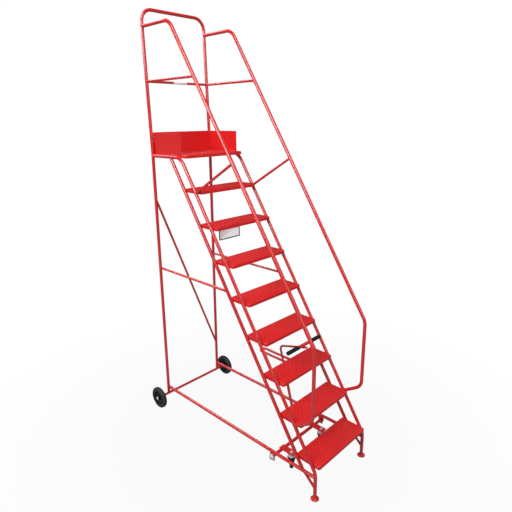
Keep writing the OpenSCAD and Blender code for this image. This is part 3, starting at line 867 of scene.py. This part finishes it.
# %% Toe board screws
board_low, board_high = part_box("toe_board_screws")
SCREW_HEAD = [
    (0, 0.2), (4.6, 0.2), (4.7, 0.8), (4.3, 1.8), (3.4, 2.6), (2.4, 3.0), (2.1, 2.9), (2.0, 1.4), (0, 1.2),
]
HEAD_HALF = 4.75 * MM
screws = []
for side, turn in ((-1, TO_X), (1, TO_MINUS_X)):
    face = board_low.x if side < 0 else board_high.x
    for z in (board_low.z + HEAD_HALF, board_high.z - HEAD_HALF):
        head = turned(SCREW_HEAD, 18)
        screws.append(put(head, (face, (board_low.y + board_high.y) / 2, z), turn))
finish_piece(join(screws), "toe_board_bolt_heads", "frame", dull_zinc, ["toe_board_screws"])

# %% [markdown]
# Under the seventh tread hangs a small sign plate. Its face is left bare: a white plate with rounded corners
# and a thin dark border. A box is rounded at its corners, and an inset of the front face gives the border its
# own faces and its own finish.

# %% Bare sign plate
PLATE_CORNER = 9 * MM
BORDER = 8.5 * MM
low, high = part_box("sign_plate")
only(None)
bpy.ops.mesh.primitive_cube_add(size=1, location=(low + high) / 2, scale=high - low)
plate = put(bpy.context.object, bpy.context.object.location)
plate.data.materials.append(white_plate)
plate.data.materials.append(dark_edge)
edit(plate, "EDGE")
pick("edges", lambda e: abs(e.verts[0].co.y - e.verts[1].co.y) > 0.5 * MM)
bpy.ops.mesh.bevel(offset=PLATE_CORNER, segments=6, affect="EDGES")
bpy.ops.mesh.select_mode(type="FACE")
pick("faces", lambda f: abs(f.normal.y) < 0.5)
plate.active_material_index = 1
bpy.ops.object.material_slot_assign()
pick("faces", lambda f: f.normal.y < -0.9)
bpy.ops.object.material_slot_assign()
bpy.ops.mesh.inset(thickness=BORDER)
plate.active_material_index = 0
bpy.ops.object.material_slot_assign()
bpy.ops.mesh.inset(thickness=0.4 * MM, depth=-0.25 * MM)
done(plate)
finish_piece(plate, "bare_sign_plate", "frame", None, ["sign_plate"])

# %% [markdown]
# A plain white sleeve is stuck round the knee rail at the back. It is a thin turned ring with soft ends, and
# it stays blank.

# %% Blank sleeve on the rear knee rail
low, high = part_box("rear_knee_rail")
round_rail = (high.z - low.z) / 2 / MM
SLEEVE = 128
SLEEVE_START = -0.048
sleeve = turned(
    [
        (round_rail + 0.05, 0), (round_rail + 0.3, 0), (round_rail + 0.45, 0.6),
        (round_rail + 0.45, SLEEVE - 0.6), (round_rail + 0.3, SLEEVE), (round_rail + 0.05, SLEEVE),
        (round_rail + 0.05, 0),
    ],
    32,
)
put(sleeve, (SLEEVE_START, (low.y + high.y) / 2, (low.z + high.z) / 2), TO_X)
finish_piece(sleeve, "blank_white_sleeve", "frame", white_plate)

# %% [markdown]
# Tubes that meet are welded all round. A weld bead follows the saddle where one tube lands on the other, so
# a plain ring isn't enough: a torus of the right size is added, and each of its points is slid along the
# landing tube until the ring lies on the other tube's surface. The places come from the CAD's centre lines,
# in millimetres from the front legs and from the floor.

# %% Weld beads
SIDE = 0.294
TUBE = 12.5 * MM
BRACE = 9.5 * MM
AXLE_TUBE = 11 * MM
SHIFT = -870.497
SLOPE = 159 / 248.5
FOOT_Z = 212
STRINGER_GAP = 126
UPRIGHT = 1653.994
JOINT_Z = 2262
AXLE_Z = 95
LEG_LEAN = 22
HOOP_LEAN, HOOP_RISE = 23, 1025
RAIL_Y, RAIL_LOW, RAIL_BEND = 35, 597, 1120
BASE_FRONT, BASE_REAR = 182, 165
KNEE_Z = 2787
BRACE_Z = 1310
LEVEL_Z = 2237.5
RAIL_TOP = 3167


def front_y(z):
    """Front stringer at a height."""
    return (z - FOOT_Z) * SLOPE


def rear_y(z):
    """Rear stringer at a height."""
    return front_y(z) + STRINGER_GAP


def leg_y(z):
    """Rear leg at a height."""
    return UPRIGHT + LEG_LEAN * (JOINT_Z - z) / (JOINT_Z - AXLE_Z)


def hoop_y(z):
    """Rear guard hoop at a height."""
    return UPRIGHT + (z - JOINT_Z) * HOOP_LEAN / HOOP_RISE


def rail_y(z):
    """Sloping part of a handrail at a height."""
    return RAIL_Y + (z - RAIL_BEND) * SLOPE


def base_z(y):
    """Height of a base rail at a distance from the front leg."""
    return BASE_FRONT + (BASE_REAR - BASE_FRONT) * y / leg_y(BASE_REAR)


def on_side(side, y, z):
    """A point of one side frame, from its distance and height in millimetres."""
    return Vector((side * SIDE, (y + SHIFT) * MM, z * MM))


def bead(at, landing, landing_radius, onto, onto_radius, thick=2.0):
    """A weld bead where a tube through a point, leaving along landing, meets the tube along onto."""
    way = Vector(landing).normalized()
    axis = Vector(onto).normalized()
    across = way.cross(axis).normalized()
    beside = across.cross(way).normalized()
    only(None)
    bpy.ops.mesh.primitive_torus_add(
        major_segments=28, minor_segments=8, major_radius=landing_radius, minor_radius=thick * MM
    )
    ring = bpy.context.object
    for point in ring.data.vertices:
        angle = math.atan2(point.co.y, point.co.x)
        out = beside * math.cos(angle) + across * math.sin(angle)
        flat = way - axis * way.dot(axis)
        spread = (out - axis * out.dot(axis)) * landing_radius
        a = flat.length_squared
        b = 2 * flat.dot(spread)
        c = spread.length_squared - onto_radius**2
        slide = (-b + math.sqrt(max(0, b * b - 4 * a * c))) / (2 * a)
        point.co = at + way * (slide + point.co.z) + out * point.co.xy.length
    ring.data.update()
    edit(ring, "FACE")
    return done(ring)


beads = []
for side in (-1, 1):
    stringer = Vector((0, SLOPE, 1))
    leg = Vector((0, leg_y(200) - leg_y(1200), -1000))
    hoop = Vector((0, HOOP_LEAN, HOOP_RISE))
    rail = stringer
    along = Vector((0, 1, 0))
    base = Vector((0, leg_y(BASE_REAR), BASE_REAR - BASE_FRONT))
    rear_foot = rear_y(174)
    strut_low = (front_y(1990), 1990)
    strut_high = (rail_y(2225), 2225)
    strut = Vector((0, strut_high[0] - strut_low[0], strut_high[1] - strut_low[1]))
    gusset_low = (0, 94)
    gusset_high = (rear_foot - 8, base_z(rear_foot - 8))
    gusset = Vector((0, gusset_high[0] - gusset_low[0], gusset_high[1] - gusset_low[1]))
    foot_end = (front_y(500), 500)
    turn_end = Vector((0, RAIL_Y - foot_end[0], RAIL_LOW - foot_end[1]))
    meets = [
        (on_side(side, 0, BASE_FRONT), base, TUBE, (0, 0, 1), TUBE),
        (on_side(side, leg_y(BASE_REAR), BASE_REAR), -base, TUBE, leg, TUBE),
        (on_side(side, rear_foot, base_z(rear_foot)), stringer, TUBE, base, TUBE),
        (on_side(side, *gusset_low), gusset, BRACE, (0, 0, 1), TUBE),
        (on_side(side, rear_y(BRACE_Z), BRACE_Z), along, BRACE, stringer, TUBE),
        (on_side(side, leg_y(BRACE_Z), BRACE_Z), -along, BRACE, leg, TUBE),
        (on_side(side, *strut_low), strut, BRACE, stringer, TUBE),
        (on_side(side, *strut_high), -strut, BRACE, rail, TUBE),
        (on_side(side, rail_y(KNEE_Z), KNEE_Z), along, BRACE, rail, TUBE),
        (on_side(side, hoop_y(KNEE_Z), KNEE_Z), -along, BRACE, hoop, TUBE),
        (on_side(side, hoop_y(RAIL_TOP), RAIL_TOP), -along, TUBE, hoop, TUBE),
        (on_side(side, leg_y(LEVEL_Z), LEVEL_Z), -along, TUBE, leg, TUBE),
        (on_side(side, *foot_end), turn_end, TUBE, stringer, TUBE),
        (on_side(side, rear_y(LEVEL_Z), LEVEL_Z), -stringer, TUBE, along, TUBE),
        (on_side(side, hoop_y(KNEE_Z), KNEE_Z), (-side, 0, 0), BRACE, hoop, TUBE),
        (on_side(side, leg_y(AXLE_Z), AXLE_Z), -leg, TUBE, (1, 0, 0), AXLE_TUBE),
    ]
    for at, landing, radius, onto, onto_radius in meets:
        beads.append(bead(at, landing, radius, onto, onto_radius))
high_end = on_side(-1, leg_y(1895), 1895)
low_end = on_side(1, leg_y(390), 390)
beads.append(bead(high_end, low_end - high_end, BRACE, leg, TUBE))
beads.append(bead(low_end, high_end - low_end, BRACE, leg, TUBE))
finish_piece(join(beads), "frame_weld_beads", "frame", red_paint, smooth=60)

# %% [markdown]
# The lever has two welds of its own: its tube stands on the shaft in a bead, and a fillet closes the step
# from the tube to the rod. They move with the lever, so they are one piece.

# %% Weld beads on the lever
shaft_low, shaft_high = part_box("lift_shaft")
shaft_at = Vector((0, (shaft_low.y + shaft_high.y) / 2, (shaft_low.z + shaft_high.z) / 2))
LEVER_BACK, LEVER_UP = 577 - 388, 853 - 134
lever_way = Vector((0, LEVER_BACK, LEVER_UP)).normalized()
LEVER_TUBE = 10.5 * MM
TUBE_END = 570 * MM
FILLET = [(8.05, 0.1), (10.4, 0.1), (10.3, 1.0), (9.4, 2.2), (8.6, 3.6), (8.05, 5.0), (8.05, 0.1)]
fillet = turned(FILLET, 32)
put(fillet, shaft_at + lever_way * TUBE_END, (-math.atan2(lever_way.y, lever_way.z), 0, 0))
foot_bead = bead(shaft_at, lever_way, LEVER_TUBE, (1, 0, 0), (shaft_high.z - shaft_low.z) / 2)
finish_piece(join([fillet, foot_bead]), "lever_weld_beads", "lever", red_paint, smooth=60)

# %% [markdown]
# The photograph has a white background. What looks straight at the world or the floor sees white. In mirror
# images both are dimmed, because tubes in an all-white room would look veiled, and as a light the world is
# only a weak sky. The floor keeps the shadow near the wheels and fades to white further out.

# %% White surroundings
def maths(tree, operation, one, other):
    """A Math node on two sockets, or on a socket and a number."""
    node = tree.nodes.new("ShaderNodeMath")
    node.operation = operation
    for socket, value in zip(node.inputs, (one, other)):
        if isinstance(value, (int, float)):
            socket.default_value = value
        else:
            tree.links.new(value, socket)
    return node.outputs["Value"]


def mirror_and_camera(tree):
    """Two sockets: one for mirror and glass rays, and one for camera rays."""
    rays = tree.nodes.new("ShaderNodeLightPath")
    mirror = maths(tree, "MAXIMUM", rays.outputs["Is Glossy Ray"], rays.outputs["Is Transmission Ray"])
    return mirror, rays.outputs["Is Camera Ray"]


SKY = 0.28
MIRRORED = 0.12
FLOOR_GREY = 0.22
FADE_FROM, FADE_TO = 0.9, 2.8
NEAR_WHITE = 0.94
world = bpy.data.worlds.new("studio")
bpy.context.scene.world = world
world.use_nodes = True
tree = world.node_tree
surroundings = tree.nodes["Background"]
surroundings.inputs["Color"].default_value = (1, 1, 1, 1)
mirror, straight = mirror_and_camera(tree)
dimmed = maths(tree, "MULTIPLY_ADD", mirror, MIRRORED - SKY)
dimmed.node.inputs[2].default_value = SKY
tree.links.new(maths(tree, "MAXIMUM", dimmed, straight), surroundings.inputs["Strength"])

only(None)
bpy.ops.mesh.primitive_plane_add(size=60, location=(0, 0, 0))
floor = bpy.context.object
floor.name = "studio_floor"
pale = bpy.data.materials.new("pale_floor")
pale.use_nodes = True
tree = pale.node_tree
matt = tree.nodes["Principled BSDF"]
matt.inputs["Base Color"].default_value = (FLOOR_GREY, FLOOR_GREY, FLOOR_GREY, 1)
matt.inputs["Roughness"].default_value = 0.9
glow = tree.nodes.new("ShaderNodeEmission")
coords = tree.nodes.new("ShaderNodeTexCoord")
reach = tree.nodes.new("ShaderNodeVectorMath")
reach.operation = "LENGTH"
tree.links.new(coords.outputs["Object"], reach.inputs[0])
fade = tree.nodes.new("ShaderNodeMapRange")
fade.inputs["From Min"].default_value = FADE_FROM
fade.inputs["From Max"].default_value = FADE_TO
fade.inputs["To Min"].default_value = NEAR_WHITE
tree.links.new(reach.outputs["Value"], fade.inputs["Value"])
mirror, straight = mirror_and_camera(tree)
glowing = maths(tree, "MAXIMUM", maths(tree, "MULTIPLY", mirror, MIRRORED), straight)
part = maths(tree, "MULTIPLY", fade.outputs["Result"], glowing)
mixed = tree.nodes.new("ShaderNodeMixShader")
tree.links.new(part, mixed.inputs[0])
tree.links.new(matt.outputs[0], mixed.inputs[1])
tree.links.new(glow.outputs[0], mixed.inputs[2])
tree.links.new(mixed.outputs[0], tree.nodes["Material Output"].inputs["Surface"])
floor.data.materials.append(pale)

# %% [markdown]
# In the photograph the treads and the left faces are equally bright and the faces to the front are darker, so
# one large lamp stands raised on the left and another hangs overhead. The pale streak along the sloping tubes
# is the mirror image of a strip in front, and the one along the level tubes that of a strip behind. A weak
# lamp on the right keeps the far faces from turning black.

# %% Lamps and camera
MIDDLE = Vector((0, 0, 1.5))


def lamp(name, way, far, width, length, power):
    """A soft lamp in a direction from the stand's middle, looking back at it."""
    data = bpy.data.lights.new(name, "AREA")
    data.shape = "RECTANGLE"
    data.size = width
    data.size_y = length
    data.energy = power
    obj = bpy.data.objects.new(name, data)
    bpy.context.scene.collection.objects.link(obj)
    way = Vector(way).normalized()
    obj.location = MIDDLE + way * far
    obj.rotation_euler = (-way).to_track_quat("-Z", "Y").to_euler()
    return obj


lamp("left_softbox", (-0.86, 0.04, 0.50), 5.5, 4.5, 1.8, 172)
lamp("overhead_softbox", (-0.46, -0.22, 0.86), 5.5, 2.6, 2.8, 110)
lamp("front_strip", (-0.08, -0.84, 0.54), 5.0, 1.6, 4.2, 84)
lamp("rear_strip", (-0.06, 0.78, 0.62), 5.0, 2.2, 2.4, 100)
lamp("right_fill", (0.92, -0.12, 0.45), 5.0, 2.4, 2.4, 10)

camera_data = bpy.data.cameras.new("camera")
camera_data.sensor_width = 36
camera_data.lens = 32.288
camera = bpy.data.objects.new("camera", camera_data)
bpy.context.scene.collection.objects.link(camera)
camera.location = (-2.3788, -2.3699, 2.4997)
camera.rotation_euler = [math.radians(a) for a in (73.486, 0.641, -45.902)]
bpy.context.scene.camera = camera
bpy.context.scene.view_settings.view_transform = "Standard"
